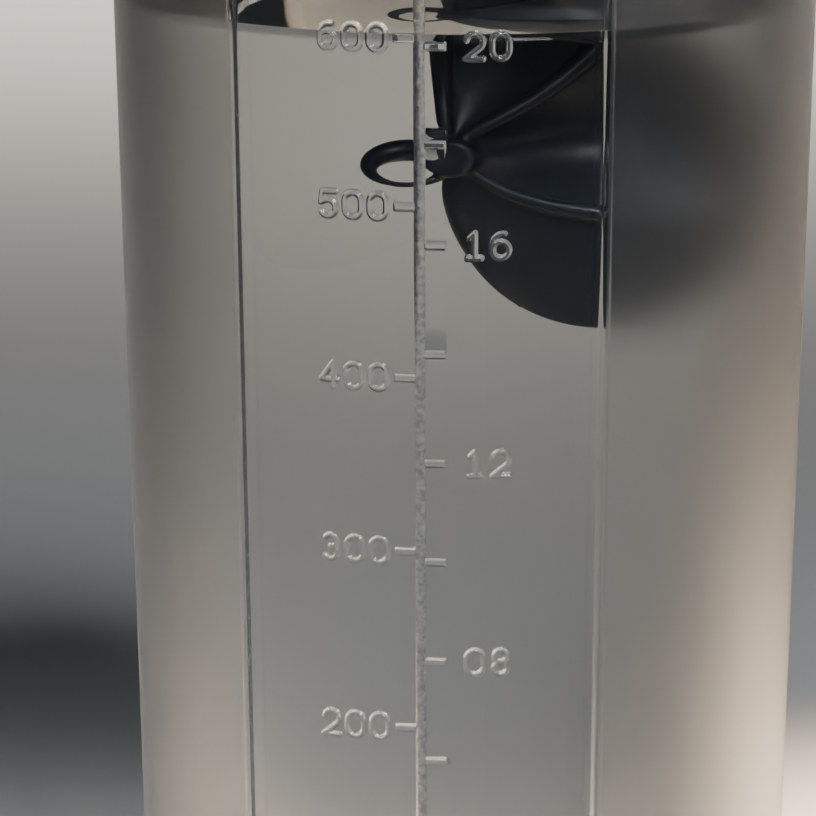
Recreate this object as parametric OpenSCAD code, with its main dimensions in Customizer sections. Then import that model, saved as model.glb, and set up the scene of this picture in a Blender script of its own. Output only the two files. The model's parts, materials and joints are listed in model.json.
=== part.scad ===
// Graduated shaker bottle: tapered cup with a clear scale window, screw lid with
// a flip cap and a carry loop, and a loose finned agitator that floats inside.
// Origin at the centre of the foot, +Z up, the scale window facing -Y.

/* [Cup] */
// Outer radius of the cup at its foot
foot_r = 38.9; // [34:0.1:42]
// Outer radius of the cup at its neck
neck_r = 43.1; // [42:0.1:48]
// Height at which the taper ends and the neck begins
neck_z = 156; // [140:1:180]
// Height of the cup's rim
rim_z = 176; // [174:1:200]
// Wall thickness
wall = 2; // [1.5:0.1:3]
// Height of the hollow under the floor
foot_h = 5; // [3:0.5:8]
// Thickness of the floor
floor_t = 3; // [2:0.5:5]
// Width of the stop collar below the lid
collar_w = 2.6; // [1.5:0.1:3]

/* [Scale window] */
// Angle from the centre rib to the window's left edge
window_left = 32.2; // [20:0.1:40]
// Angle from the centre rib to the window's right edge
window_right = 30; // [20:0.1:40]
// Width of the moulded edge beads and of the centre rib
rib_w = 1.1; // [0.8:0.1:2]
// How far the scale stands out of the wall
relief = 0.4; // [0.2:0.05:0.8]
// Length of a scale tick from the rib's edge
tick_len = 2.4; // [1:0.1:4]
// Thickness of a scale tick
tick_t = 0.8; // [0.5:0.1:1.2]
// Width of a numeral between its stroke centres
digit_w = 2; // [1.5:0.1:3]
// Width of a numeral's stroke
stroke = 0.5; // [0.3:0.05:0.8]
// Distance from one numeral to the next
digit_pitch = 3; // [2.5:0.1:4]
// Distance from the rib to the near edge of the millilitre labels
ml_gap = 3.9; // [3:0.1:6]
// Distance from the rib to the near edge of the ounce labels
oz_gap = 5.3; // [4:0.1:8]

/* [Thread] */
// Lift of the lid in one turn
pitch = 10; // [8:0.5:12]
// How far each thread ridge stands out
ridge_h = 1.1; // [0.8:0.1:1.4]
// Angle that one thread ridge covers
ridge_span = 200; // [120:10:240]

/* [Lid] */
// Outer radius of the lid
lid_r = 47.2; // [46:0.1:52]
// Thickness of the lid's top
lid_t = 3; // [2:0.5:4]
// Number of grip flutes round the lid
flutes = 28; // [12:2:40]
// Distance of the spout from the lid's centre
spout_y = 25; // [20:1:28]
// Inner radius of the spout
spout_r = 8; // [6:0.5:10]
// Height of the spout's mouth above the lid's top
spout_h = 9; // [6:1:14]
// Distance of the flip cap's hinge behind the lid's centre
hinge_y = 3; // [0:1:8]

/* [Carry loop] */
// Length of the loop below its hinge
loop_len = 34; // [26:1:44]
// Half of the loop's outer width
loop_half = 14; // [12:1:18]
// Width of the loop's strap
strap_w = 6; // [4:0.5:8]
// Thickness of the loop's strap
strap_t = 3; // [2:0.5:4]

/* [Agitator] */
// Height of the hub when the agitator floats at the top mark
hub_z = 116; // [110:1:118]
// Thickness of the vanes
vane_t = 1.6; // [1.2:0.1:2.4]
// Depth of the fins behind the vanes
fin_depth = 14; // [8:1:18]
// Radius of the finger ring's centre line
ring_r = 3.5; // [3:0.1:6]

/* [Hidden] */
$fn = 96;

slope = (neck_r - foot_r) / neck_z;
tilt = atan(slope);
floor_z = foot_h + floor_t;
embed = 0.3;
digit_h = 1.45 * digit_w;
// Thread: the lid's bore clears the cup's ridges, and the lid's ridges clear the neck
ridge_gap = 0.4;
lid_bore = neck_r + ridge_h + ridge_gap;
ridge_root = 2.4;
ridge_crest = 1.2;
ridge_z = neck_z + 7;
skirt_z = neck_z + 1;
seal_t = 2;
lid_under = rim_z + seal_t + 0.1;
lid_top = lid_under + lid_t;
// Flip cap
mouth_z = lid_top + spout_h;
spout_wall = 2.5;
cap_z = mouth_z + 0.3;
cap_t = 3.2;
cap_r = spout_r + spout_wall + 2;
cap_pin_r = 1.75;
knuckle_r = 4;
knuckle_half = 6.7;
ear_t = 4;
ear_gap = 0.3;
running = 0.06;
// Carry loop
loop_pin_r = 1.5;
loop_y = lid_r + 3.3;
loop_z = rim_z - 2;
lug_t = 4;
// Agitator: places are measured from the hub, x to the right, z up
hub_x = -1;
hub_r = 2.3;
hub_front = -3;
hub_back = 4;
hub_chamfer = 0.4;
// Ribs and the vanes' left edge, as [x, z] control points from the hub outwards
rib_lines = [[[-0.6, 1], [-1.1, 8], [-2.4, 17]], [[0.2, 1], [1.5, 4.4], [9.5, 5], [15, 18.4]],
    [[1, -0.8], [6, -8.4], [27.5, -8.2]], [[-0.8, -1.2], [-1.6, -5], [-1.2, -9.5]]];
// Radius of each rib at the hub and at the edge
rib_radii = [[0.65, 1.1], [0.7, 1.2], [0.5, 1.3]];
// What each vane's outer edge is pulled towards between its two ribs
edge_pulls = [[[7, 19.2]], [[28.5, 9]], [[25, -23.8], [4, -29.3]]];
// How far the vanes curve back at their edges, and how hollow each one is
vane_bulge = 9;
vane_hollows = [1, 6, 1.5];
rib_proud = 0.35;

function outer_r(z) = foot_r + slope * min(z, neck_z);
// Height above the foot at which the cup holds a volume, in millilitres
function level(ml) = let (r0 = outer_r(floor_z) - wall)
    floor_z + (pow(pow(r0, 3) + 3 * slope * ml * 1000 / PI, 1 / 3) - r0) / slope;
ml_marks = [for (v = [200:100:600]) [v, level(v)]];
us_fl_oz = 29.5735;
// The ounce marks stand a little off their true heights, from 6 to 20 ounces
oz_nudge = [0.9, 0.2, -0.3, -0.8, 0, 0.9, 0.9, 0.8];
oz_marks = [for (i = [0:7]) [6 + 2 * i, level((6 + 2 * i) * us_fl_oz) + oz_nudge[i]]];
oz_labels = [["08", 1], ["12", 3], ["16", 5], ["20", 7]];

// Places children on the cup's wall, mm along the wall from the rib, facing outwards
module on_wall(along, z) {
    rotate([0, 0, along / outer_r(z) * 180 / PI])
        translate([0, -outer_r(z), z])
            rotate([90 - tilt, 0, 0])
                children();
}

module bar(x0, y0, x1, y1) {
    length = norm([x1 - x0, y1 - y0]);
    translate([x0, y0])
        rotate(atan2(y1 - y0, x1 - x0))
            translate([-stroke / 2, -stroke / 2])
                square([length + stroke, stroke]);
}

// Ring segment from angle a0 to a1, anticlockwise
module arc(x, y, r, a0, a1) {
    reach = 2 * r;
    translate([x, y])
        intersection() {
            difference() {
                circle(r = r + stroke / 2, $fn = 32);
                circle(r = r - stroke / 2, $fn = 32);
            }
            if (a1 - a0 < 360)
                polygon(concat([[0, 0]],
                    [for (i = [0:4]) reach * [cos(a0 + (a1 - a0) * i / 4), sin(a0 + (a1 - a0) * i / 4)]]));
        }
}

// One numeral, with its stroke centres in a box digit_w wide and digit_h high
module numeral(n) {
    w = digit_w;
    h = digit_h;
    r = w / 2;
    if (n == "0") {
        arc(r, h - r, r, 0, 180);
        arc(r, r, r, 180, 359.9);
        bar(0, r, 0, h - r);
        bar(w, r, w, h - r);
    }
    if (n == "1") {
        bar(r, 0, r, h);
        bar(0.2 * w, 0.8 * h, r, h);
        bar(0.15 * w, 0, 0.85 * w, 0);
    }
    if (n == "2") {
        arc(r, h - 0.95 * r, 0.95 * r, -35, 170);
        bar(0.02 * w, 0, 0.88 * w, 0.48 * h);
        bar(0, 0, w, 0);
    }
    if (n == "3") {
        arc(r, 0.74 * h, 0.26 * h, -90, 150);
        arc(r, 0.27 * h, 0.27 * h, -150, 90);
    }
    if (n == "4") {
        bar(0.75 * w, 0, 0.75 * w, h);
        bar(0, 0.3 * h, 0.75 * w, h);
        bar(0, 0.3 * h, w, 0.3 * h);
    }
    if (n == "5") {
        bar(0.12 * w, h, 0.92 * w, h);
        bar(0.05 * w, 0.55 * h, 0.12 * w, h);
        arc(0.95 * r, 0.95 * r, 0.95 * r, -150, 125);
    }
    if (n == "6") {
        circle_r = 0.95 * r;
        arc(r, circle_r, circle_r, 0, 360);
        arc(1.25 * r, h - 1.25 * r, 1.2 * r, 80, 180);
        bar(0.03 * w, circle_r, 0.03 * w, h - 1.25 * r);
    }
    if (n == "8") {
        arc(r, 0.75 * h, 0.25 * h, 0, 360);
        arc(r, 0.27 * h, 0.27 * h, 0, 360);
    }
}

// A label whose left edge is at a distance along the wall, centred on its mark
module label(word, along, z) {
    for (i = [0:len(word) - 1])
        on_wall(along + i * digit_pitch + digit_w / 2, z)
            translate([-digit_w / 2, -digit_h / 2, -embed])
                linear_extrude(relief + embed)
                    numeral(word[i]);
}

module tick(along, z) {
    on_wall(along, z)
        translate([-tick_len / 2 - embed, -tick_t / 2, -embed])
            cube([tick_len + 2 * embed, tick_t, relief + embed]);
}

module scale_marks() {
    side = (rib_w + tick_len) / 2;
    for (m = ml_marks) {
        tick(-side, m[1]);
        label(str(m[0]), -ml_gap - 2 * digit_pitch - digit_w, m[1]);
    }
    for (m = oz_marks)
        tick(side, m[1]);
    for (l = oz_labels)
        label(l[0], oz_gap, oz_marks[l[1]][1]);
}

// Straight ridge up the wall, from z0 to z1
module wall_rib(angle, z0, z1) {
    rotate([0, 0, angle])
        translate([-rib_w / 2, -outer_r(z0), z0])
            rotate([-tilt, 0, 0])
                translate([0, -relief, 0])
                    cube([rib_w, relief + embed, z1 - z0]);
}

// Helical ridge: r0 at its root, r1 at its crest, z at its start
module thread_ridge(r0, r1, z) {
    steps = 40;
    fade = 5;
    section = [[r0, -ridge_root / 2], [r0, ridge_root / 2], [r1, ridge_crest / 2], [r1, -ridge_crest / 2]];
    points = [for (i = [0:steps]) let (
            a = ridge_span * i / steps,
            grow = min(1, (min(i, steps - i) + 0.4) / fade))
        for (p = section) let (r = r0 + (p[0] - r0) * grow)
            [r * cos(a), r * sin(a), z + pitch * a / 360 + p[1]]];
    last = 4 * steps;
    inward = r1 < r0;
    sides = [for (i = [0:steps - 1]) for (j = [0:3]) let (k = (j + 1) % 4)
        [4 * i + j, 4 * i + k, 4 * i + 4 + k, 4 * i + 4 + j]];
    ends = [[3, 2, 1, 0], [last, last + 1, last + 2, last + 3]];
    split = [for (f = concat(sides, ends)) for (t = [[f[0], f[1], f[2]], [f[0], f[2], f[3]]]) t];
    polyhedron(points, [for (t = split) inward ? t : [t[2], t[1], t[0]]]);
}

module thread(r0, r1, z) {
    for (start = [0, 180])
        rotate([0, 0, start])
            thread_ridge(r0, r1, z);
}

module cup() {
    corner = 4;
    inner_foot = outer_r(floor_z) - wall;
    color([0.80, 0.80, 0.78, 0.5]) {
        rotate_extrude()
            polygon(concat(
                [[0, foot_h], [foot_r - 5, foot_h], [foot_r - 4, 0], [foot_r - 1, 0], [foot_r, 1]],
                [[outer_r(neck_z - 4), neck_z - 4], [neck_r + collar_w - 0.5, neck_z - 3],
                 [neck_r + collar_w, neck_z - 2.5], [neck_r + collar_w, neck_z - 0.5],
                 [neck_r + collar_w - 0.5, neck_z], [neck_r, neck_z]],
                [[neck_r, rim_z - 0.6], [neck_r - 0.6, rim_z], [neck_r - wall + 0.6, rim_z],
                 [neck_r - wall, rim_z - 0.6], [neck_r - wall, neck_z]],
                [for (a = [0:15:90]) [inner_foot - corner + corner * cos(a),
                    floor_z + corner - corner * sin(a)]],
                [[0, floor_z]]));
        for (angle = [-window_left, 0, window_right])
            wall_rib(angle, floor_z, neck_z - 5);
        scale_marks();
        thread(neck_r - embed, neck_r + ridge_h, ridge_z);
    }
}

module lid_gasket() {
    color([0.75, 0.75, 0.74])
        translate([0, 0, rim_z + 0.05])
            difference() {
                cylinder(r = lid_bore - 0.4, h = seal_t);
                translate([0, 0, -1])
                    cylinder(r = neck_r - wall - 0.5, h = seal_t + 2);
            }
}

module lid_ear(side) {
    x = side > 0 ? knuckle_half + ear_gap : -knuckle_half - ear_gap - ear_t;
    difference() {
        union() {
            translate([x, hinge_y, mouth_z])
                rotate([0, 90, 0])
                    cylinder(r = knuckle_r, h = ear_t);
            translate([x, hinge_y - knuckle_r, lid_top - 1])
                cube([ear_t, 2 * knuckle_r, mouth_z - lid_top + 1]);
        }
        translate([x - 1, hinge_y, mouth_z])
            rotate([0, 90, 0])
                cylinder(r = cap_pin_r, h = ear_t + 2);
    }
}

module loop_lug(side) {
    x = side > 0 ? loop_half + ear_gap : -loop_half - ear_gap - lug_t;
    lug_r = 3.4;
    difference() {
        union() {
            translate([x, loop_y, loop_z])
                rotate([0, 90, 0])
                    cylinder(r = lug_r, h = lug_t);
            translate([x, lid_r - 5, loop_z - lug_r])
                cube([lug_t, loop_y - lid_r + 5, 2 * lug_r]);
        }
        translate([x - 1, loop_y, loop_z])
            rotate([0, 90, 0])
                cylinder(r = loop_pin_r, h = lug_t + 2);
    }
}

module lid_shell() {
    lip_r = neck_r - wall - 0.9;
    color([0.08, 0.08, 0.09]) {
        difference() {
            union() {
                rotate_extrude()
                    polygon([[0, lid_under], [lip_r - 1.2, lid_under], [lip_r - 1.2, rim_z - 2],
                        [lip_r, rim_z - 2], [lip_r, lid_under], [lid_bore, lid_under], [lid_bore, skirt_z],
                        [lid_r - 0.6, skirt_z], [lid_r, skirt_z + 0.6], [lid_r, lid_top - 3],
                        [lid_r - 0.9, lid_top - 0.9], [lid_r - 3, lid_top], [0, lid_top]]);
                translate([0, -spout_y, lid_under])
                    cylinder(r = spout_r + spout_wall, h = mouth_z - lid_under);
                for (side = [-1, 1]) {
                    lid_ear(side);
                    loop_lug(side);
                }
            }
            translate([0, -spout_y, lid_under - 3])
                cylinder(r = spout_r, h = mouth_z);
            for (i = [0:flutes - 1]) let (a = (i + 0.5) * 360 / flutes)
                if (abs(a - 90) > 30)
                    rotate([0, 0, a])
                        translate([lid_r + 2.3, 0, skirt_z + 2])
                            cylinder(r = 3, h = lid_top - skirt_z - 6);
        }
        thread(lid_bore + embed, lid_bore - ridge_h, ridge_z - pitch / 4);
    }
}

module cap_hinge_pin() {
    half = knuckle_half + ear_gap + ear_t;
    color([0.62, 0.63, 0.65])
        translate([-half, hinge_y, mouth_z])
            rotate([0, 90, 0])
                cylinder(r = cap_pin_r, h = 2 * half);
}

module flip_cap() {
    arm_half = knuckle_half;
    skirt_h = 2;
    color([0.09, 0.09, 0.10])
        difference() {
            union() {
                translate([0, -spout_y, cap_z])
                    cylinder(r1 = cap_r, r2 = cap_r - 1, h = cap_t);
                translate([0, -spout_y, cap_z - skirt_h])
                    difference() {
                        cylinder(r = cap_r, h = skirt_h + 0.5);
                        translate([0, 0, -1])
                            cylinder(r = cap_r - 1.2, h = skirt_h + 1);
                    }
                translate([-arm_half, -spout_y, cap_z])
                    cube([2 * arm_half, spout_y + hinge_y, cap_t]);
                translate([-5, -spout_y - cap_r - 3, cap_z + 0.4])
                    cube([10, 6, 2]);
                translate([-knuckle_half, hinge_y, mouth_z])
                    rotate([0, 90, 0])
                        cylinder(r = knuckle_r, h = 2 * knuckle_half);
            }
            translate([-knuckle_half - 1, hinge_y, mouth_z])
                rotate([0, 90, 0])
                    cylinder(r = cap_pin_r + running, h = 2 * knuckle_half + 2);
        }
}

module cap_plug() {
    color([0.70, 0.70, 0.69])
        translate([0, -spout_y, cap_z - 3.5])
            union() {
                cylinder(r1 = spout_r - 0.9, r2 = spout_r - 0.4, h = 1.5);
                translate([0, 0, 1.5])
                    cylinder(r = spout_r - 0.4, h = 2);
            }
}

module loop_pin(side) {
    reach = loop_half + ear_gap + lug_t;
    inner = loop_half - strap_t - 0.4;
    color([0.62, 0.63, 0.65])
        translate([side > 0 ? inner : -reach, loop_y, loop_z])
            rotate([0, 90, 0])
                cylinder(r = loop_pin_r, h = reach - inner);
}

module loop_pin_left() {
    loop_pin(-1);
}

module loop_pin_right() {
    loop_pin(1);
}

module carry_loop() {
    bend = loop_half;
    straight = loop_len - bend;
    color([0.10, 0.10, 0.11])
        difference() {
            union() {
                for (side = [-1, 1]) {
                    x = side > 0 ? loop_half - strap_t : -loop_half;
                    translate([x, loop_y - strap_w / 2, loop_z - straight])
                        cube([strap_t, strap_w, straight]);
                    translate([x, loop_y, loop_z])
                        rotate([0, 90, 0])
                            cylinder(r = strap_w / 2, h = strap_t);
                }
                translate([0, loop_y + strap_w / 2, loop_z - straight])
                    rotate([90, 0, 0])
                        intersection() {
                            difference() {
                                cylinder(r = bend, h = strap_w);
                                translate([0, 0, -1])
                                    cylinder(r = bend - strap_t, h = strap_w + 2);
                            }
                            translate([-bend - 1, -bend - 1, -1])
                                cube([2 * bend + 2, bend + 1, strap_w + 2]);
                        }
            }
            translate([-loop_half - 1, loop_y, loop_z])
                rotate([0, 90, 0])
                    cylinder(r = loop_pin_r + running, h = 2 * loop_half + 2);
        }
}

// Point at t, from 0 to 1, on the Bezier curve with these control points
function bezier(p, t) = len(p) == 1 ? p[0]
    : bezier([for (i = [0:len(p) - 2]) (1 - t) * p[i] + t * p[i + 1]], t);

function rib_tip(k) = rib_lines[k][len(rib_lines[k]) - 1];

// Point on the vanes: s runs from the hub to the edge, u counts the ribs passed
function vane_point(s, u, lift) = let (
        k = min(2, floor(u)),
        t = u - k,
        rim = concat([rib_tip(k)], edge_pulls[k], [rib_tip(k + 1)]),
        between = (1 - t) * bezier(rib_lines[k], s) + t * bezier(rib_lines[k + 1], s),
        chord = (1 - t) * rib_tip(k) + t * rib_tip(k + 1),
        place = between + s * (bezier(rim, t) - chord),
        hollow = 2.6 * vane_hollows[k] * sin(180 * t) * s * (1 - s * s))
    [place[0], vane_bulge * s * s + hollow + lift, place[1]];

module vanes() {
    rings = 9;
    spokes = 27;
    row = spokes + 1;
    layer = (rings + 1) * row;
    points = [for (lift = [0, vane_t]) for (i = [0:rings]) for (j = [0:spokes])
        vane_point(i / rings, 3 * j / spokes, lift)];
    front = [for (i = [0:rings - 1]) for (j = [0:spokes - 1]) let (a = i * row + j)
        each [[a, a + row + 1, a + 1], [a, a + row, a + row + 1]]];
    back = [for (f = front) [f[2] + layer, f[1] + layer, f[0] + layer]];
    rim = concat([for (j = [0:spokes]) j], [for (i = [1:rings]) i * row + spokes],
        [for (j = [1:spokes]) rings * row + spokes - j], [for (i = [1:rings - 1]) (rings - i) * row]);
    count = len(rim);
    walls = [for (n = [0:count - 1]) let (a = rim[n], b = rim[(n + 1) % count])
        each [[a, b, a + layer], [b, b + layer, a + layer]]];
    polyhedron(points, concat(front, back, walls));
}

// Closed round tube through points, across and up being the directions of each ring
module tube(path, radii, across, up) {
    sides = 8;
    last = (len(path) - 1) * sides;
    points = [for (i = [0:len(path) - 1]) for (j = [0:sides - 1]) let (a = 360 * j / sides)
        path[i] + radii[i] * (cos(a) * across[i] + sin(a) * up[i])];
    skin = [for (i = [0:len(path) - 2]) for (j = [0:sides - 1]) let (k = (j + 1) % sides, a = i * sides)
        each [[a + j, a + sides + k, a + k], [a + j, a + sides + j, a + sides + k]]];
    ends = [for (j = [1:sides - 2])
        each [[0, j, j + 1], [last, last + j + 1, last + j]]];
    polyhedron(points, concat(skin, ends));
}

// Round rib along one of the lines between the vanes
module vane_rib(k) {
    steps = 9;
    path = [for (i = [0:steps]) vane_point(0.02 + 0.95 * i / steps, k, -rib_proud)];
    across = [for (i = [0:steps]) let (d = path[min(steps, i + 1)] - path[max(0, i - 1)])
        [d[2], 0, -d[0]] / norm([d[0], d[2]])];
    up = [for (i = [0:steps]) [0, 1, 0]];
    radii = [for (i = [0:steps]) rib_radii[k][0] + (rib_radii[k][1] - rib_radii[k][0]) * i / steps];
    tube(path, radii, across, up);
}

// Stiffening fin behind the vanes along one spoke, rounded towards the edge
module back_fin(u) {
    steps = 10;
    outer = 0.93;
    aim = vane_point(1, u, 0) - vane_point(0, u, 0);
    across = [aim[2], 0, -aim[0]] / norm([aim[0], aim[2]]) * vane_t / 2;
    points = [for (i = [0:steps]) let (
            s = 0.03 + (outer - 0.03) * i / steps,
            front = vane_point(s, u, vane_t / 2),
            back = [front[0], front[1] + 0.5 + fin_depth * sqrt(1 - pow(s / outer, 2)), front[2]])
        each [front - across, front + across, back + across, back - across]];
    last = 4 * steps;
    quads = concat([[0, 1, 2, 3], [last + 3, last + 2, last + 1, last]],
        [for (i = [0:steps - 1]) for (j = [0:3]) let (k = (j + 1) % 4)
            [4 * i + j, 4 * i + 4 + j, 4 * i + 4 + k, 4 * i + k]]);
    polyhedron(points, [for (q = quads) each [[q[0], q[1], q[2]], [q[0], q[2], q[3]]]]);
}

// Ring beside the hub, thick at its raised far side and thin at its lower lip
module finger_ring() {
    steps = 20;
    rise = 30;
    top_r = 1.35;
    lip_r = 0.35;
    centre = [-ring_r - 0.7, 0, -1.4];
    away = [0, cos(rise), sin(rise)];
    normal = [0, -sin(rise), cos(rise)];
    sides = 8;
    points = [for (i = [0:steps - 1]) for (j = [0:sides - 1]) let (
            a = 360 * i / steps,
            b = 360 * j / sides,
            out = [cos(a), 0, 0] + sin(a) * away,
            r = (top_r + lip_r) / 2 + (top_r - lip_r) / 2 * sin(a))
        centre + (ring_r + r * cos(b)) * out + r * sin(b) * normal];
    faces = [for (i = [0:steps - 1]) for (j = [0:sides - 1]) let (
            k = (j + 1) % sides,
            a = i * sides,
            b = ((i + 1) % steps) * sides)
        each [[a + j, a + k, b + k], [a + j, b + k, b + j]]];
    polyhedron(points, faces);
}

module agitator() {
    color([0.05, 0.06, 0.08])
        translate([hub_x, 0, hub_z]) {
            rotate([-90, 0, 0])
                rotate_extrude()
                    polygon([[0, hub_front], [hub_r - hub_chamfer, hub_front], [hub_r, hub_front + hub_chamfer],
                        [hub_r, hub_back], [0, hub_back]]);
            vanes();
            for (k = [0:2]) {
                vane_rib(k);
                back_fin(k + 0.5);
            }
            finger_ring();
        }
}

cup();
lid_gasket();
lid_shell();
cap_hinge_pin();
flip_cap();
cap_plug();
loop_pin_left();
loop_pin_right();
carry_loop();
agitator();
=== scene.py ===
import bpy
import bmesh
import json
import math
import numpy as np
from mathutils import Matrix, Vector


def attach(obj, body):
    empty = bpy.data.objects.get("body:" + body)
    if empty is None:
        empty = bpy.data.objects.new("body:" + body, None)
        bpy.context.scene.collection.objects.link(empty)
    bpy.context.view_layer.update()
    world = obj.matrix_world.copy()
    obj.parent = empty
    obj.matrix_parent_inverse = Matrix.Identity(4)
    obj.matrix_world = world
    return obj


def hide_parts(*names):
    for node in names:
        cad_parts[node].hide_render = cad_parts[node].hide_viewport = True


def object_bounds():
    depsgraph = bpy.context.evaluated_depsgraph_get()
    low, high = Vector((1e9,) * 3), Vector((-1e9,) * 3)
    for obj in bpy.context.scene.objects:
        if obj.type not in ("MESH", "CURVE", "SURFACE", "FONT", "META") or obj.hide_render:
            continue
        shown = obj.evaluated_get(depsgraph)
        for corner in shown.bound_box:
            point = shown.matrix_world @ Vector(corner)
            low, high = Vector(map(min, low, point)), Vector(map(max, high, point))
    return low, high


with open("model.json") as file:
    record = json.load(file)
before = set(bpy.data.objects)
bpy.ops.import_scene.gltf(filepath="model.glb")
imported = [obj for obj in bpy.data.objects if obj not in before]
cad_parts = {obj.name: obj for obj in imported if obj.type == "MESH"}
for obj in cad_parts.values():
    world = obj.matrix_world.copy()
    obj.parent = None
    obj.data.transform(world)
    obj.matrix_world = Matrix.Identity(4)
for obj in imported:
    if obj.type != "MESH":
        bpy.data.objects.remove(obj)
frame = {"record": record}
cad_low, cad_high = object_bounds()

BODY_OF = {node: body for body, nodes in frame["record"]["behaviour"]["bodies"].items() for node in nodes}
SLOT_OF = {part["node"]: part["material_slot"] for part in frame["record"]["subparts"]}

MM = 0.001

# ---- Driving sizes: lengths in millimetres, angles in degrees ----
FOOT_R = 38.9
NECK_R = 43.1
NECK_Z = 156.0
RIM_Z = 176.0
WALL = 2.0
FOOT_H = 5.0
FLOOR_Z = 8.0
FLOOR_CORNER = 4.0
COLLAR_W = 2.6
WINDOW_LEFT = 32.2
WINDOW_RIGHT = 30.0
RIB_W = 1.1
RIB_TOP = NECK_Z - 5
RELIEF = 0.4
FLANK = 0.16
BEAD_FLANK = 0.5
TICK_LEN = 2.4
TICK_T = 0.8
DIGIT_W = 2.0
DIGIT_H = 1.45 * DIGIT_W
STROKE = 0.5
DIGIT_PITCH = 3.0
ML_GAP = 3.9
OZ_GAP = 5.3
PITCH = 10.0
RIDGE_H = 1.1
RIDGE_SPAN = 200.0
RIDGE_ROOT = 2.4
RIDGE_CREST = 1.2
RIDGE_FADE = 20.0
THREAD_START = NECK_Z + 7
SLOPE = (NECK_R - FOOT_R) / NECK_Z
US_FL_OZ = 29.5735
HUB = Vector((-1.0, 0.0, 116.0))


def outer_r(z):
    return FOOT_R + SLOPE * np.minimum(z, NECK_Z)


def level(ml):
    """Height above the foot at which the cup holds a volume in millilitres."""
    r0 = outer_r(FLOOR_Z) - WALL
    return FLOOR_Z + ((r0 ** 3 + 3 * SLOPE * ml * 1000 / math.pi) ** (1 / 3) - r0) / SLOPE


MIDDLE_R = outer_r(90.0)
LABEL_LEFT = -ML_GAP - 2 * DIGIT_PITCH - DIGIT_W
CELL = 0.125
FAR = 9.0
AXIS_R = 0.001
OZ_NUDGE = [0.9, 0.2, -0.3, -0.8, 0.0, 0.9, 0.9, 0.8]
ML_MARKS = [(v, level(v)) for v in range(200, 700, 100)]
OZ_MARKS = [(6 + 2 * i, level((6 + 2 * i) * US_FL_OZ) + OZ_NUDGE[i]) for i in range(8)]
OZ_LABELS = [("08", 1), ("12", 3), ("16", 5), ("20", 7)]
WATER_Z = level(600) - 0.2


# ---- Camera ----
def make_camera():
    distance = 690.0
    azimuth = math.radians(7.0)
    camera_z = 230.0
    pitch = math.radians(12.06)
    yaw = math.radians(0.57)
    data = bpy.data.cameras.new("camera")
    data.lens = 253.0
    data.sensor_width = 36.0
    data.clip_start = 0.02
    data.clip_end = 60.0
    camera = bpy.data.objects.new("camera", data)
    bpy.context.scene.collection.objects.link(camera)
    camera.location = Vector((distance * math.sin(azimuth), -distance * math.cos(azimuth), camera_z)) * MM
    heading = azimuth + yaw
    level_part = math.cos(pitch)
    aim = Vector((-math.sin(heading) * level_part, math.cos(heading) * level_part, -math.sin(pitch)))
    camera.rotation_mode = "QUATERNION"
    camera.rotation_quaternion = aim.to_track_quat("-Z", "Y")
    bpy.context.scene.camera = camera


make_camera()


# ---- Node helpers ----
def new_material(name):
    material = bpy.data.materials.new(name)
    material.use_nodes = True
    tree = material.node_tree
    return material, tree, tree.nodes["Principled BSDF"]


def add_math(tree, operation, a, b, clamp=False):
    node = tree.nodes.new("ShaderNodeMath")
    node.operation = operation
    node.use_clamp = clamp
    for socket, value in zip(node.inputs, (a, b)):
        if isinstance(value, (int, float)):
            socket.default_value = value
        else:
            tree.links.new(value, socket)
    return node.outputs[0]


def make_grain_group():
    """Fine moulded grain: a height for Bump and a roughness that varies a little."""
    group = bpy.data.node_groups.new("moulded_grain", "ShaderNodeTree")
    face = group.interface
    for name, value in (("Scale", 900.0), ("Roughness", 0.4), ("Variation", 0.08)):
        face.new_socket(name, in_out="INPUT", socket_type="NodeSocketFloat").default_value = value
    face.new_socket("Height", in_out="OUTPUT", socket_type="NodeSocketFloat")
    face.new_socket("Roughness", in_out="OUTPUT", socket_type="NodeSocketFloat")
    given = group.nodes.new("NodeGroupInput")
    out = group.nodes.new("NodeGroupOutput")
    coords = group.nodes.new("ShaderNodeTexCoord")
    fine = group.nodes.new("ShaderNodeTexNoise")
    fine.inputs["Detail"].default_value = 3.0
    fine.inputs["Roughness"].default_value = 0.6
    broad = group.nodes.new("ShaderNodeTexNoise")
    broad.inputs["Scale"].default_value = 35.0
    group.links.new(coords.outputs["Object"], fine.inputs["Vector"])
    group.links.new(coords.outputs["Object"], broad.inputs["Vector"])
    group.links.new(given.outputs["Scale"], fine.inputs["Scale"])
    group.links.new(fine.outputs["Fac"], out.inputs["Height"])
    centred = add_math(group, "SUBTRACT", broad.outputs["Fac"], 0.5)
    swing = add_math(group, "MULTIPLY", centred, given.outputs["Variation"])
    uneven = add_math(group, "ADD", given.outputs["Roughness"], swing, clamp=True)
    group.links.new(uneven, out.inputs["Roughness"])
    return group


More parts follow.
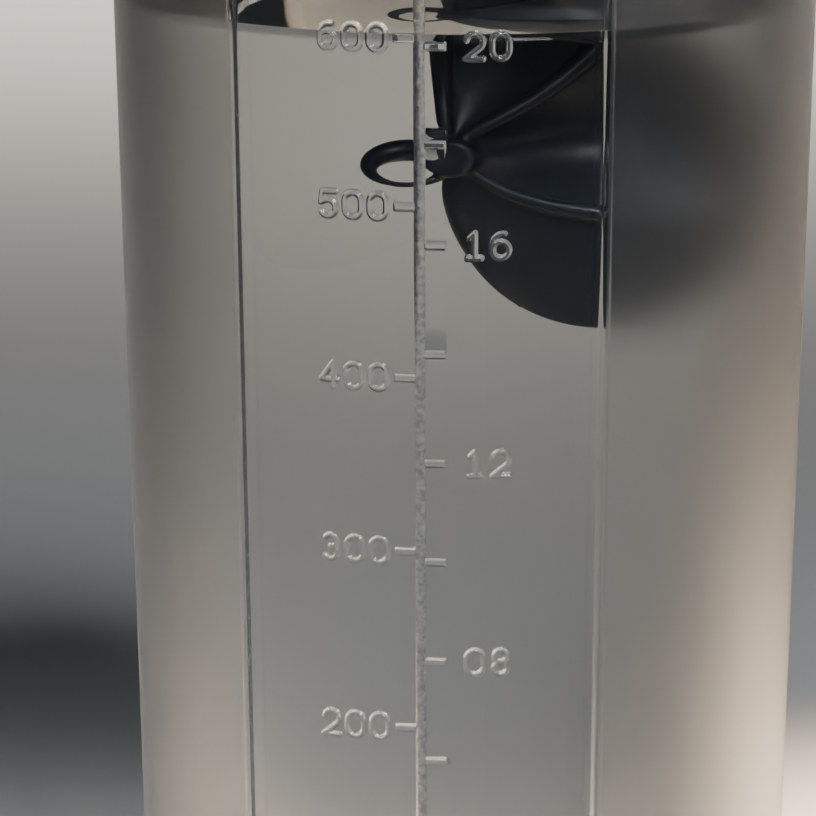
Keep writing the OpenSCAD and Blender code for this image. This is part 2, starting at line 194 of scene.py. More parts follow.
def make_wear_group():
    """Handling wear: a mask that is high on broken-up patches of the outer edges, and a faint smudge mask."""
    group = bpy.data.node_groups.new("handling_wear", "ShaderNodeTree")
    face = group.interface
    face.new_socket("Amount", in_out="INPUT", socket_type="NodeSocketFloat").default_value = 0.5
    face.new_socket("Mask", in_out="OUTPUT", socket_type="NodeSocketFloat")
    given = group.nodes.new("NodeGroupInput")
    out = group.nodes.new("NodeGroupOutput")
    coords = group.nodes.new("ShaderNodeTexCoord")
    geometry = group.nodes.new("ShaderNodeNewGeometry")
    patches = group.nodes.new("ShaderNodeTexNoise")
    patches.inputs["Scale"].default_value = 160.0
    patches.inputs["Detail"].default_value = 4.0
    smudge = group.nodes.new("ShaderNodeTexNoise")
    smudge.inputs["Scale"].default_value = 28.0
    smudge.inputs["Detail"].default_value = 3.0
    group.links.new(coords.outputs["Object"], patches.inputs["Vector"])
    group.links.new(coords.outputs["Object"], smudge.inputs["Vector"])
    sharpness = add_math(group, "SUBTRACT", geometry.outputs["Pointiness"], 0.52)
    edge = add_math(group, "MULTIPLY", sharpness, 9.0, clamp=True)
    worn = add_math(group, "MULTIPLY", edge, patches.outputs["Fac"])
    faint = add_math(group, "MULTIPLY", smudge.outputs["Fac"], 0.12)
    both = add_math(group, "ADD", worn, faint, clamp=True)
    group.links.new(add_math(group, "MULTIPLY", both, given.outputs["Amount"]), out.inputs["Mask"])
    return group


GRAIN = make_grain_group()
WEAR = make_wear_group()


def add_grain(tree, shader, scale, roughness, variation, depth, strength=0.4):
    node = tree.nodes.new("ShaderNodeGroup")
    node.node_tree = GRAIN
    node.inputs["Scale"].default_value = scale
    node.inputs["Roughness"].default_value = roughness
    node.inputs["Variation"].default_value = variation
    bump = tree.nodes.new("ShaderNodeBump")
    bump.inputs["Strength"].default_value = strength
    bump.inputs["Distance"].default_value = depth * MM
    tree.links.new(node.outputs["Height"], bump.inputs["Height"])
    tree.links.new(bump.outputs["Normal"], shader.inputs["Normal"])
    tree.links.new(node.outputs["Roughness"], shader.inputs["Roughness"])
    return node


def let_shadows_through(tree, shader, colour):
    """Lets lamps light what is inside: shadow rays pass, tinted by a colour."""
    path = tree.nodes.new("ShaderNodeLightPath")
    clear = tree.nodes.new("ShaderNodeBsdfTransparent")
    clear.inputs["Color"].default_value = (*colour, 1)
    mix = tree.nodes.new("ShaderNodeMixShader")
    tree.links.new(path.outputs["Is Shadow Ray"], mix.inputs["Fac"])
    tree.links.new(shader.outputs[0], mix.inputs[1])
    tree.links.new(clear.outputs[0], mix.inputs[2])
    tree.links.new(mix.outputs[0], tree.nodes["Material Output"].inputs["Surface"])


def clear_wall_finish():
    material, tree, shader = new_material("clear_copolyester")
    shader.inputs["Base Color"].default_value = (0.93, 0.93, 0.92, 1)
    shader.inputs["Transmission Weight"].default_value = 1.0
    shader.inputs["IOR"].default_value = 1.5
    shader.inputs["Roughness"].default_value = 0.02
    let_shadows_through(tree, shader, (0.9, 0.9, 0.9))
    return material


def frosted_wall_finish():
    material, tree, shader = new_material("frosted_copolyester")
    shader.inputs["Base Color"].default_value = (0.86, 0.85, 0.83, 1)
    shader.inputs["Transmission Weight"].default_value = 1.0
    shader.inputs["IOR"].default_value = 1.5
    add_grain(tree, shader, 1400.0, 0.42, 0.06, 0.02)
    let_shadows_through(tree, shader, (0.6, 0.6, 0.6))
    return material


def granular_rib_finish():
    """Grainy moulded rib: the grain mottles the tint as well as the surface."""
    material, tree, shader = new_material("granular_rib")
    shader.inputs["Transmission Weight"].default_value = 0.9
    shader.inputs["IOR"].default_value = 1.5
    grain = add_grain(tree, shader, 1500.0, 0.3, 0.1, 0.2, 0.9)
    tint = tree.nodes.new("ShaderNodeValToRGB")
    tint.color_ramp.elements[0].position, tint.color_ramp.elements[1].position = 0.38, 0.66
    tint.color_ramp.elements[0].color = (0.38, 0.39, 0.42, 1)
    tint.color_ramp.elements[1].color = (0.94, 0.93, 0.90, 1)
    tree.links.new(grain.outputs["Height"], tint.inputs["Fac"])
    tree.links.new(tint.outputs["Color"], shader.inputs["Base Color"])
    let_shadows_through(tree, shader, (0.6, 0.6, 0.6))
    return material


def raised_mark_finish():
    """Numerals and ticks: nearly as clear as the wall, with a trace of grain on their strokes."""
    material, tree, shader = new_material("raised_marks")
    shader.inputs["Base Color"].default_value = (0.96, 0.95, 0.93, 1)
    shader.inputs["Transmission Weight"].default_value = 0.93
    shader.inputs["IOR"].default_value = 1.5
    add_grain(tree, shader, 1800.0, 0.06, 0.04, 0.01, 0.2)
    let_shadows_through(tree, shader, (0.85, 0.85, 0.85))
    return material


def water_finish():
    material, tree, shader = new_material("still_water")
    shader.inputs["Base Color"].default_value = (0.97, 0.985, 0.985, 1)
    shader.inputs["Transmission Weight"].default_value = 1.0
    shader.inputs["IOR"].default_value = 1.33
    shader.inputs["Roughness"].default_value = 0.0
    let_shadows_through(tree, shader, (0.95, 0.96, 0.96))
    return material


def agitator_finish():
    material, tree, shader = new_material("black_moulded_nylon")
    shader.inputs["Base Color"].default_value = (0.012, 0.015, 0.02, 1)
    shader.inputs["Specular IOR Level"].default_value = 0.22
    add_grain(tree, shader, 2200.0, 0.34, 0.06, 0.01, 0.1)
    return material


def add_wear(tree, shader, colour, worn_colour, amount):
    wear = tree.nodes.new("ShaderNodeGroup")
    wear.node_tree = WEAR
    wear.inputs["Amount"].default_value = amount
    blend = tree.nodes.new("ShaderNodeMix")
    blend.data_type = "RGBA"
    blend.inputs["A"].default_value = (*colour, 1)
    blend.inputs["B"].default_value = (*worn_colour, 1)
    tree.links.new(wear.outputs["Mask"], blend.inputs["Factor"])
    tree.links.new(blend.outputs["Result"], shader.inputs["Base Color"])


def moulded_black_finish(name, colour, roughness):
    material, tree, shader = new_material(name)
    add_wear(tree, shader, colour, tuple(3.2 * c for c in colour), 0.7)
    add_grain(tree, shader, 900.0, roughness, 0.14, 0.04)
    return material


def silicone_finish():
    material, tree, shader = new_material("silicone_seal")
    shader.inputs["Subsurface Weight"].default_value = 0.15
    shader.inputs["Subsurface Radius"].default_value = (0.002, 0.002, 0.002)
    add_wear(tree, shader, (0.62, 0.62, 0.60), (0.5, 0.49, 0.46), 0.8)
    add_grain(tree, shader, 700.0, 0.55, 0.1, 0.03)
    return material


def pin_finish():
    material, tree, shader = new_material("drawn_steel_pin")
    shader.inputs["Base Color"].default_value = (0.62, 0.63, 0.65, 1)
    shader.inputs["Metallic"].default_value = 1.0
    add_grain(tree, shader, 300.0, 0.28, 0.1, 0.02)
    return material


CLEAR = clear_wall_finish()
FROSTED = frosted_wall_finish()
GRANULAR = granular_rib_finish()
RAISED = raised_mark_finish()
WATER = water_finish()
AGITATOR = agitator_finish()
LID_BLACK = moulded_black_finish("lid_black", (0.022, 0.022, 0.024), 0.42)
CAP_BLACK = moulded_black_finish("cap_black", (0.026, 0.026, 0.028), 0.36)
LOOP_BLACK = moulded_black_finish("loop_black", (0.03, 0.03, 0.032), 0.4)
SILICONE = silicone_finish()
STEEL = pin_finish()


# ---- Mesh helpers ----
def link_mesh(name, points, faces, materials, slots=None, smooth=True):
    mesh = bpy.data.meshes.new(name)
    mesh.from_pydata(points, [], faces)
    mesh.update()
    for material in materials:
        mesh.materials.append(material)
    if slots is not None:
        mesh.polygons.foreach_set("material_index", slots)
    mesh.polygons.foreach_set("use_smooth", [smooth] * len(mesh.polygons))
    piece = bpy.data.objects.new(name, mesh)
    bpy.context.scene.collection.objects.link(piece)
    return piece


def steps_between(stops):
    """Values along a line: each stop is (start, spacing), and the last is the end."""
    values = []
    for (start, spacing), (end, _) in zip(stops, stops[1:]):
        count = max(1, round((end - start) / spacing))
        values += [start + (end - start) * i / count for i in range(count)]
    return np.array(values + [stops[-1][0]])


# ---- Scale relief ----
def segment_distance(x, y, x0, y0, x1, y1):
    """Distance from each place to the bar between two ends."""
    dx, dy = x1 - x0, y1 - y0
    t = np.clip(((x - x0) * dx + (y - y0) * dy) / (dx * dx + dy * dy), 0, 1)
    return np.hypot(x - x0 - t * dx, y - y0 - t * dy)


def arc_distance(x, y, cx, cy, r, a0, a1):
    """Distance from each place to an arc; its angles are in degrees."""
    a0, a1 = math.radians(a0), math.radians(a1)
    ux, uy = x - cx, y - cy
    middle, half = (a0 + a1) / 2, (a1 - a0) / 2
    turn = np.abs((np.arctan2(uy, ux) - middle + math.pi) % (2 * math.pi) - math.pi)
    on_arc = np.abs(np.hypot(ux, uy) - r)
    ends = [np.hypot(ux - r * math.cos(a), uy - r * math.sin(a)) for a in (a0, a1)]
    return np.where(turn <= half, on_arc, np.minimum(*ends))


def numeral_strokes(n):
    """Stroke centres of a numeral: bars as (x0, y0, x1, y1), arcs as (x, y, r, a0, a1)."""
    w, h = DIGIT_W, DIGIT_H
    r = w / 2
    return {
        "0": [(r, h - r, r, 0, 180), (r, r, r, 180, 360), (0, r, 0, h - r), (w, r, w, h - r)],
        "1": [(r, 0, r, h), (0.2 * w, 0.8 * h, r, h), (0.15 * w, 0, 0.85 * w, 0)],
        "2": [(r, h - 0.95 * r, 0.95 * r, -35, 170), (0.02 * w, 0, 0.88 * w, 0.48 * h), (0, 0, w, 0)],
        "3": [(r, 0.74 * h, 0.26 * h, -90, 150), (r, 0.27 * h, 0.27 * h, -150, 90)],
        "4": [(0.75 * w, 0, 0.75 * w, h), (0, 0.3 * h, 0.75 * w, h), (0, 0.3 * h, w, 0.3 * h)],
        "5": [(0.12 * w, h, 0.92 * w, h), (0.05 * w, 0.55 * h, 0.12 * w, h),
              (0.95 * r, 0.95 * r, 0.95 * r, -150, 125)],
        "6": [(r, 0.95 * r, 0.95 * r, 0, 360), (1.25 * r, h - 1.25 * r, 1.2 * r, 80, 180),
              (0.03 * w, 0.95 * r, 0.03 * w, h - 1.25 * r)],
        "8": [(r, 0.75 * h, 0.25 * h, 0, 360), (r, 0.27 * h, 0.27 * h, 0, 360)],
    }[n]


def numeral_distance(n, x, y):
    reach = np.full_like(x, FAR)
    for stroke in numeral_strokes(n):
        measure = segment_distance if len(stroke) == 4 else arc_distance
        reach = np.minimum(reach, measure(x, y, *stroke))
    return reach


def labels():
    """(left edge along the wall, height of the centre, word) of each label."""
    millilitres = [(LABEL_LEFT, z, str(v)) for v, z in ML_MARKS]
    return millilitres + [(OZ_GAP, OZ_MARKS[i][1], word) for word, i in OZ_LABELS]


def rounded(distance, half, edge):
    """Relief from a distance to a centre line: full inside half, with a rounded flank edge wide."""
    t = np.clip((half + edge / 2 - distance) / edge, 0, 1)
    return t * t * (3 - 2 * t)


def scale_relief(around, z):
    """Height of the scale above the wall, in mm, at angles in radians from the rib."""
    along = around * outer_r(z)
    height = np.zeros_like(along)
    for word_x, word_z, word in labels():
        near = (np.abs(z - word_z) < DIGIT_H) & (along > word_x - 1) & (along < word_x + 3 * DIGIT_PITCH + 1)
        if not near.any():
            continue
        x, y = along[near], z[near] - word_z + DIGIT_H / 2
        reach = np.full_like(x, FAR)
        for i, n in enumerate(word):
            reach = np.minimum(reach, numeral_distance(n, x - word_x - i * DIGIT_PITCH, y))
        height[near] = np.maximum(height[near], rounded(reach, STROKE / 2, FLANK))
    for marks, side in ((ML_MARKS, -1), (OZ_MARKS, 1)):
        for _, mark_z in marks:
            x = np.abs(along - side * (RIB_W + TICK_LEN) / 2) - TICK_LEN / 2
            y = np.abs(z - mark_z) - TICK_T / 2
            height = np.maximum(height, rounded(np.maximum(x, y), 0, FLANK))
    in_span = (z > FLOOR_Z) & (z < RIB_TOP)
    crown = np.sqrt(np.clip(1 - (around * MIDDLE_R / (RIB_W / 2 + 0.06)) ** 2, 0, 1))
    height = np.maximum(height, crown * in_span)
    for angle in (-WINDOW_LEFT, WINDOW_RIGHT):
        offset = np.abs(around - math.radians(angle)) * MIDDLE_R
        height = np.maximum(height, rounded(offset, RIB_W / 2, BEAD_FLANK) * in_span)
    return RELIEF * height


# ---- Cup ----
def cup_columns():
    """Angles round the cup in radians from -Y, fine where the scale stands."""
    margin, bead = 1.2, 1.3
    left = LABEL_LEFT - margin
    right = OZ_GAP + DIGIT_PITCH + DIGIT_W + margin
    rib = RIB_W / 2
    tick = rib + TICK_LEN
    fine = steps_between([(left, CELL), (-ML_GAP + 0.5, CELL), (-tick - 0.2, 0.1), (-tick + 0.2, 0.6),
                          (-rib - 0.15, 0.05), (-rib + 0.15, 0.1), (rib - 0.15, 0.05), (rib + 0.15, 0.6),
                          (tick - 0.2, 0.1), (tick + 0.2, 0.6), (OZ_GAP - 0.5, CELL), (right, CELL)])
    fine = np.degrees(fine / MIDDLE_R)
    rest = steps_between([(fine[-1], 2.5), (WINDOW_RIGHT - bead, 0.16), (WINDOW_RIGHT + bead, 3.0),
                          (360 - WINDOW_LEFT - bead, 0.16), (360 - WINDOW_LEFT + bead, 2.5),
                          (360 + fine[0], 1)])
    return np.radians(np.concatenate([fine, rest[1:-1]]))


def cup_rows():
    """Heights up the outer wall, fine where labels and ticks stand."""
    zones = [(z - DIGIT_H / 2 - 0.5, z + DIGIT_H / 2 + 0.5) for _, z in ML_MARKS]
    labelled = [i for _, i in OZ_LABELS]
    for i, (_, z) in enumerate(OZ_MARKS):
        half = DIGIT_H / 2 + 0.5 if i in labelled else TICK_T / 2 + 0.2
        zones.append((z - half, z + half))
    rows = set()
    for low, high in zones:
        rows.update(np.arange(round(low / CELL), round(high / CELL) + 1) * CELL)
    fine = sorted(rows)
    coarse = [z for z in np.arange(FLOOR_Z, NECK_Z - 4, 3.0) if min(abs(z - f) for f in fine) > 1.0]
    return np.array(sorted(fine + coarse))


def thread_height(angle, z, start_z):
    """Relief of the two-start thread at an angle in radians from +X and a height."""
    height = np.zeros_like(z)
    for start in (0.0, 180.0):
        turn = (np.degrees(angle) - start) % 360.0
        for wrap in (0.0, 360.0):
            a = turn - wrap
            fade = np.clip(np.minimum(a, RIDGE_SPAN - a) / RIDGE_FADE, 0, 1)
            offset = np.abs(z - start_z - PITCH * a / 360.0)
            section = np.clip((RIDGE_ROOT / 2 - offset) / ((RIDGE_ROOT - RIDGE_CREST) / 2), 0, 1)
            height = np.maximum(height, section * fade)
    return RIDGE_H * height


def foot_outline():
    """From the axis under the floor, out round the foot's ring."""
    return [(AXIS_R, FOOT_H), (FOOT_R - 6, FOOT_H), (FOOT_R - 5, FOOT_H - 0.3), (FOOT_R - 4.6, FOOT_H - 1.5),
            (FOOT_R - 4, 0.6), (FOOT_R - 3.4, 0.0), (FOOT_R - 1.2, 0.0), (FOOT_R - 0.35, 0.35), (FOOT_R, 1.2)]


def collar_outline():
    """Stop collar below the lid."""
    top = NECK_R + COLLAR_W
    return [(outer_r(NECK_Z - 4), NECK_Z - 4), (NECK_R + 1, NECK_Z - 3.3), (top - 0.5, NECK_Z - 3),
            (top, NECK_Z - 2.5), (top, NECK_Z - 0.5), (top - 0.4, NECK_Z - 0.05), (NECK_R + 0.4, NECK_Z),
            (NECK_R, NECK_Z + 0.4)]


def inner_outline():
    """From the rim down the inner wall and along the floor to the axis."""
    inner_foot = outer_r(FLOOR_Z) - WALL
    rim = [(NECK_R, RIM_Z - 0.7), (NECK_R - 0.2, RIM_Z - 0.2), (NECK_R - 0.7, RIM_Z),
           (NECK_R - WALL + 0.7, RIM_Z), (NECK_R - WALL + 0.2, RIM_Z - 0.2), (NECK_R - WALL, RIM_Z - 0.7)]
    inside = [(outer_r(z) - WALL, z) for z in np.linspace(NECK_Z, FLOOR_Z + FLOOR_CORNER, 14)]
    floor = [(inner_foot - FLOOR_CORNER + FLOOR_CORNER * math.cos(a),
              FLOOR_Z + FLOOR_CORNER - FLOOR_CORNER * math.sin(a)) for a in np.radians(np.arange(15, 91, 15))]
    floor += [(inner_foot * s, FLOOR_Z) for s in (0.6, 0.3)] + [(AXIS_R, FLOOR_Z)]
    return rim + inside + floor


def cup_slots(around, relief, row, column, outside):
    """Finish of each face, as its place in make_cup's list of materials."""
    columns = around.shape[1]
    beside = (column + 1) % columns
    left, right = around[row, column], around[row, beside]
    middle = (left + right) / 2
    wraps = np.abs(left - right) > math.pi
    beyond = (middle > math.radians(WINDOW_RIGHT)) | (middle < -math.radians(WINDOW_LEFT))
    frosted = outside & (beyond | wraps)
    on_rib = outside & (np.abs(middle) * MIDDLE_R < RIB_W / 2 + 0.05) & ~wraps
    corners = np.stack([relief[row, column], relief[row, beside], relief[row + 1, beside],
                        relief[row + 1, column]])
    in_window = np.abs(middle) < math.radians(WINDOW_RIGHT - 3)
    on_mark = outside & ~frosted & (corners.max(0) > 0.3 * RELIEF) & in_window
    return np.where(on_rib, 2, np.where(on_mark, 3, frosted.astype(int)))


def make_cup():
    angles = cup_columns()
    foot = foot_outline()
    wall = [(outer_r(z), z) for z in cup_rows()]
    collar = collar_outline()
    neck = [(NECK_R, z) for z in np.arange(NECK_Z + 1, RIM_Z - 0.6, 0.4)]
    profile = foot + wall + collar + neck + inner_outline()
    first_wall, last_wall = len(foot), len(foot) + len(wall)
    first_neck = last_wall + len(collar)
    r = np.array([p[0] for p in profile])[:, None] * np.ones(len(angles))
    z = np.array([p[1] for p in profile])[:, None] * np.ones(len(angles))
    turn = np.ones(len(profile))[:, None] * angles
    around = (turn + math.pi) % (2 * math.pi) - math.pi
    rows = slice(first_wall, last_wall)
    r[rows] += scale_relief(around[rows], z[rows])
    rows = slice(first_neck, first_neck + len(neck))
    r[rows] += thread_height(turn[rows] - math.pi / 2, z[rows], THREAD_START)
    points = np.stack([r * np.sin(turn), -r * np.cos(turn), z], -1).reshape(-1, 3) * MM
    columns = len(angles)
    row, column = np.meshgrid(np.arange(len(profile) - 1), np.arange(columns), indexing="ij")
    here = row * columns + column
    beside = row * columns + (column + 1) % columns
    faces = np.stack([here, beside, beside + columns, here + columns], -1).reshape(-1, 4)
    outside = (row >= first_wall - 1) & (row < last_wall)
    slots = cup_slots(around, r - outer_r(z), row, column, outside)
    cup = link_mesh("cup_wall", points.tolist(), faces.tolist(), [CLEAR, FROSTED, GRANULAR, RAISED],
                    slots.ravel().tolist())
    close_poles(cup)
    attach(cup, "cup")
    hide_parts("cup")


def close_poles(piece):
    mesh = bmesh.new()
    mesh.from_mesh(piece.data)
    bmesh.ops.remove_doubles(mesh, verts=mesh.verts, dist=0.004 * MM)
    bmesh.ops.recalc_face_normals(mesh, faces=mesh.faces)
    mesh.to_mesh(piece.data)
    mesh.free()


def revolve(name, profile, materials, segments=160):
    """Closed solid of revolution about Z: the profile runs from the axis round to the axis, in mm."""
    angles = np.arange(segments) * 2 * math.pi / segments
    r = np.array([p[0] for p in profile])[:, None]
    z = np.array([p[1] for p in profile])[:, None] * np.ones(segments)
    points = np.stack([r * np.sin(angles), -r * np.cos(angles), z], -1).reshape(-1, 3) * MM
    faces = [(i * segments + j, i * segments + (j + 1) % segments, (i + 1) * segments + (j + 1) % segments,
              (i + 1) * segments + j) for i in range(len(profile) - 1) for j in range(segments)]
    piece = link_mesh(name, points.tolist(), faces, materials)
    close_poles(piece)
    return piece


def make_water():
    """Water just clear of the wall, climbing it a little at its surface."""
    gap, climb, fade = 0.04, 0.54, 0.9
    corner = FLOOR_CORNER - gap
    inner_foot = outer_r(FLOOR_Z) - WALL - gap
    side = outer_r(WATER_Z) - WALL - gap
    profile = [(AXIS_R, FLOOR_Z + gap)] + [(inner_foot * s, FLOOR_Z + gap) for s in (0.3, 0.6)]
    profile += [(inner_foot - corner + corner * math.sin(a), FLOOR_Z + gap + corner - corner * math.cos(a))
                for a in np.radians(np.arange(0, 91, 10))]
    profile += [(outer_r(z) - WALL - gap, z) for z in np.linspace(FLOOR_Z + 8, WATER_Z - 1, 12)]
    profile += [(side, WATER_Z + climb), (side - 0.05, WATER_Z + climb)]
    profile += [(side - d, WATER_Z + climb * math.exp(-d / fade))
                for d in (0.25, 0.5, 0.9, 1.4, 2.1, 3.0, 4.5)]
    profile += [(side * s, WATER_Z) for s in (0.8, 0.5, 0.25)] + [(AXIS_R, WATER_Z)]
    water = revolve("water_fill", profile, [WATER])
    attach(water, "cup")


# ---- Agitator ----
RIB_LINES = [[(-0.6, 1), (-1.1, 8), (-2.4, 17)], [(0.2, 1), (1.5, 4.4), (9.5, 5), (15, 18.4)],
             [(1, -0.8), (6, -8.4), (27.5, -8.2)], [(-0.8, -1.2), (-1.6, -5), (-1.2, -9.5)]]
RIB_RADII = [(0.65, 1.1), (0.7, 1.2), (0.5, 1.3)]
EDGE_PULLS = [[(7, 19.2)], [(28.5, 9)], [(25, -23.8), (4, -29.3)]]
VANE_BULGE = 9.0
VANE_HOLLOWS = [1.0, 6.0, 1.5]
HOLLOW_DEPTH = 2.6
VANE_T = 1.6
FIN_DEPTH = 14.0
RIB_PROUD = 0.35
HUB_R = 2.3
HUB_ROUNDING = [(4, 0), (2, 0), (0, 0), (-1.5, 0), (-2.6, 0), (-2.85, 0.15), (-3.0, 0.4), (-3.0, 2.25)]
RING_R = 3.5


def bezier(points, t):
    """Point at t, from 0 to 1, on the Bezier curve with these control points."""
    points = [Vector(p) for p in points]
    while len(points) > 1:
        points = [a.lerp(b, t) for a, b in zip(points, points[1:])]
    return points[0]


def vane_point(s, u, lift):
    """Point on the vanes: s runs from the hub to the edge, u counts the ribs passed."""
    k = min(2, int(u))
    t = u - k
    tips = Vector(RIB_LINES[k][-1]), Vector(RIB_LINES[k + 1][-1])
    rim = bezier([tips[0], *EDGE_PULLS[k], tips[1]], t)
    between = bezier(RIB_LINES[k], s).lerp(bezier(RIB_LINES[k + 1], s), t)
    place = between + s * (rim - tips[0].lerp(tips[1], t))
    hollow = HOLLOW_DEPTH * VANE_HOLLOWS[k] * math.sin(math.pi * t) * s * (1 - s * s)
    return Vector((place.x, VANE_BULGE * s * s + hollow + lift, place.y))


def add_grid(mesh, rows, closed=False):
    """Adds a sheet of quads through rows of points."""
    made = [[mesh.verts.new(p) for p in row] for row in rows]
    for a, b in zip(made, made[1:]):
        count = len(a)
        for j in range(count if closed else count - 1):
            k = (j + 1) % count
            mesh.faces.new((a[j], a[k], b[k], b[j]))
    return made


def add_tube(mesh, path, radii, sides=14):
    """Adds a closed round tube along a path of points."""
    rows = []
    for i, point in enumerate(path):
        ahead = path[min(i + 1, len(path) - 1)] - path[max(i - 1, 0)]
        turn = ahead.to_track_quat("Z", "Y")
        rows.append([point + turn @ Vector((math.cos(a), math.sin(a), 0)) * radii[i]
                     for a in (2 * math.pi * j / sides for j in range(sides))])
    made = add_grid(mesh, rows, closed=True)
    mesh.faces.new(list(reversed(made[0])))
    mesh.faces.new(made[-1])


def add_slab(mesh, front, back):
    """Adds a closed plate between two matching sheets of points."""
    a = add_grid(mesh, front)
    b = add_grid(mesh, back)
    edge_a = a[0] + [row[-1] for row in a[1:]] + a[-1][-2::-1] + [row[0] for row in a[-2:0:-1]]
    edge_b = b[0] + [row[-1] for row in b[1:]] + b[-1][-2::-1] + [row[0] for row in b[-2:0:-1]]
    for i in range(len(edge_a)):
        k = (i + 1) % len(edge_a)
        mesh.faces.new((edge_a[i], edge_b[i], edge_b[k], edge_a[k]))


def add_back_fin(mesh, u):
    """Adds the stiffening fin behind one vane."""
    outer = 0.93
    aim = vane_point(1, u, 0) - vane_point(0, u, 0)
    across = Vector((aim.z, 0, -aim.x)).normalized() * VANE_T / 2
    sheet = []
    for i in range(31):
        s = 0.03 + (outer - 0.03) * i / 30
        front = vane_point(s, u, VANE_T / 2)
        back = front + Vector((0, 0.5 + FIN_DEPTH * math.sqrt(max(0, 1 - (s / outer) ** 2)), 0))
        sheet.append([front.lerp(back, k / 10) for k in range(11)])
    add_slab(mesh, [[p - across for p in row] for row in sheet], [[p + across for p in row] for row in sheet])


def add_finger_ring(mesh):
    """Adds the ring beside the hub, thick at its raised far side and thin at its lower lip."""
    rise = math.radians(30)
    top_r, lip_r = 1.35, 0.35
    centre = Vector((-RING_R - 0.7, 0, -1.4))
    away = Vector((0, math.cos(rise), math.sin(rise)))
    normal = Vector((0, -math.sin(rise), math.cos(rise)))
    rows = []
    for i in range(73):
        a = 2 * math.pi * i / 72
        out = Vector((math.cos(a), 0, 0)) + math.sin(a) * away
        r = (top_r + lip_r) / 2 + (top_r - lip_r) / 2 * math.sin(a)
        rows.append([centre + (RING_R + r * math.cos(b)) * out + r * math.sin(b) * normal
                     for b in (2 * math.pi * j / 20 for j in range(20))])
    add_grid(mesh, rows, closed=True)


def make_agitator():
    mesh = bmesh.new()
    rings, spokes = 36, 150
    fractions = [i / rings for i in range(rings + 1)]
    places = [3 * j / spokes for j in range(spokes + 1)]
    add_slab(mesh, [[vane_point(s, u, 0) for u in places] for s in fractions],
             [[vane_point(s, u, VANE_T) for u in places] for s in fractions])
    for k in range(3):
        path = [vane_point(0.02 + 0.95 * i / 40, k, -RIB_PROUD) for i in range(41)]
        start, end = RIB_RADII[k]
        add_tube(mesh, path, [start + (end - start) * i / 40 for i in range(41)])
        add_back_fin(mesh, k + 0.5)
    path = [Vector((0, y, 0)) for y, _ in HUB_ROUNDING]
    add_tube(mesh, path, [HUB_R - cut for _, cut in HUB_ROUNDING], 32)
    add_finger_ring(mesh)
    bmesh.ops.recalc_face_normals(mesh, faces=mesh.faces)
    data = bpy.data.meshes.new("agitator_moulding")
    mesh.to_mesh(data)
    mesh.free()
    data.transform(Matrix.Scale(MM, 4) @ Matrix.Translation(HUB))
    data.materials.append(AGITATOR)
    piece = bpy.data.objects.new("agitator_moulding", data)
    bpy.context.scene.collection.objects.link(piece)
    melt_together(piece, 0.27)
    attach(piece, "agitator")
    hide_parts("agitator")


def melt_together(piece, voxel):
    """Joins overlapping shells into one moulding with small fillets."""
    bpy.context.view_layer.objects.active = piece
    remesh = piece.modifiers.new("remesh", "REMESH")
    remesh.mode = "VOXEL"
    remesh.voxel_size = voxel * MM
    remesh.use_smooth_shade = True
    smooth = piece.modifiers.new("smooth", "SMOOTH")
    smooth.factor = 0.5
    smooth.iterations = 4
    for modifier in ("remesh", "smooth"):
        bpy.ops.object.modifier_apply(modifier=modifier)


# ---- Stage and lights ----
def make_stage():
    material, _, shader = new_material("pale_floor")
    shader.inputs["Base Color"].default_value = (0.55, 0.54, 0.52, 1)
    shader.inputs["Roughness"].default_value = 0.7
    half = 6.0
    corners = [(-half, -half, 0), (half, -half, 0), (half, half, 0), (-half, half, 0)]
    floor = link_mesh("studio_floor", corners, [(0, 1, 2, 3)], [material], smooth=False)
    floor.location.z = cad_low.z - 0.0002


def add_lamp(name, place, target, size, power, colour, spread):
    data = bpy.data.lights.new(name, "AREA")
    data.shape = "RECTANGLE"
    data.size, data.size_y = size
    data.energy = power
    data.color = colour
    data.spread = math.radians(spread)
    lamp = bpy.data.objects.new(name, data)
    bpy.context.scene.collection.objects.link(lamp)
    lamp.location = place
    lamp.rotation_mode = "QUATERNION"
    lamp.rotation_quaternion = (Vector(target) - Vector(place)).to_track_quat("-Z", "Y")


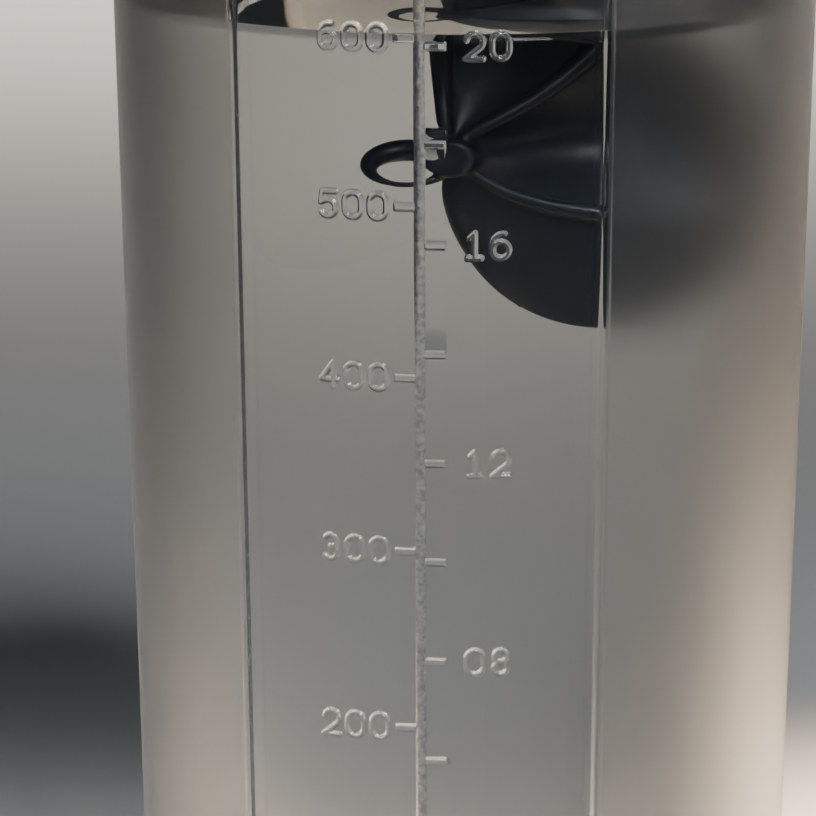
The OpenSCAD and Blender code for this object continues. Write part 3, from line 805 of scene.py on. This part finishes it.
def make_lights():
    add_lamp("back_soft", (0.0, 1.15, 0.7), (0.0, 1.0, 0.0), (1.6, 0.4), 6.5, (1.0, 0.93, 0.85), 70.0)
    add_lamp("warm_pool", (0.2, 0.2, 0.5), (0.105, 0.065, 0.0), (0.06, 0.06), 0.9, (1.0, 0.76, 0.54), 24.0)
    add_lamp("front_soft", (0.3, -0.6, 0.7), (0.0, 0.0, 0.1), (0.3, 0.3), 0.8, (0.92, 0.96, 1.0), 50.0)
    world = bpy.data.worlds.new("studio")
    world.use_nodes = True
    world.node_tree.nodes["Background"].inputs["Color"].default_value = (0.29, 0.33, 0.38, 1)
    world.node_tree.nodes["Background"].inputs["Strength"].default_value = 0.12
    bpy.context.scene.world = world


def soften_edges(node, material, width):
    """Copies a CAD node with its sharp edges rounded, as moulded or tumbled parts have them."""
    body, slot = BODY_OF[node], SLOT_OF[node]
    cad = bpy.data.objects[node]
    data = cad.data.copy()
    data.materials.clear()
    data.materials.append(material)
    data.polygons.foreach_set("material_index", [0] * len(data.polygons))
    data.polygons.foreach_set("use_smooth", [True] * len(data.polygons))
    mesh = bmesh.new()
    mesh.from_mesh(data)
    bmesh.ops.remove_doubles(mesh, verts=mesh.verts, dist=0.002 * MM)
    bmesh.ops.dissolve_limit(mesh, angle_limit=math.radians(0.5), verts=mesh.verts, edges=mesh.edges)
    mesh.to_mesh(data)
    mesh.free()
    piece = bpy.data.objects.new(node + "_softened", data)
    bpy.context.scene.collection.objects.link(piece)
    piece.matrix_world = cad.matrix_world.copy()
    bevel = piece.modifiers.new("bevel", "BEVEL")
    bevel.width = width * MM
    bevel.segments = 3
    bevel.limit_method = "ANGLE"
    bevel.angle_limit = math.radians(32)
    bevel.use_clamp_overlap = True
    bevel.harden_normals = True
    bpy.context.view_layer.objects.active = piece
    bpy.ops.object.modifier_apply(modifier="bevel")
    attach(piece, body)
    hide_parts(node)


make_cup()
make_water()
make_agitator()
for node, material, width in (
        ("lid_shell", LID_BLACK, 0.35), ("flip_cap", CAP_BLACK, 0.4), ("carry_loop", LOOP_BLACK, 0.6),
        ("lid_gasket", SILICONE, 0.3), ("cap_plug", SILICONE, 0.5), ("cap_hinge_pin", STEEL, 0.25),
        ("loop_pin_left", STEEL, 0.2), ("loop_pin_right", STEEL, 0.2)):
    soften_edges(node, material, width)
make_stage()
make_lights()
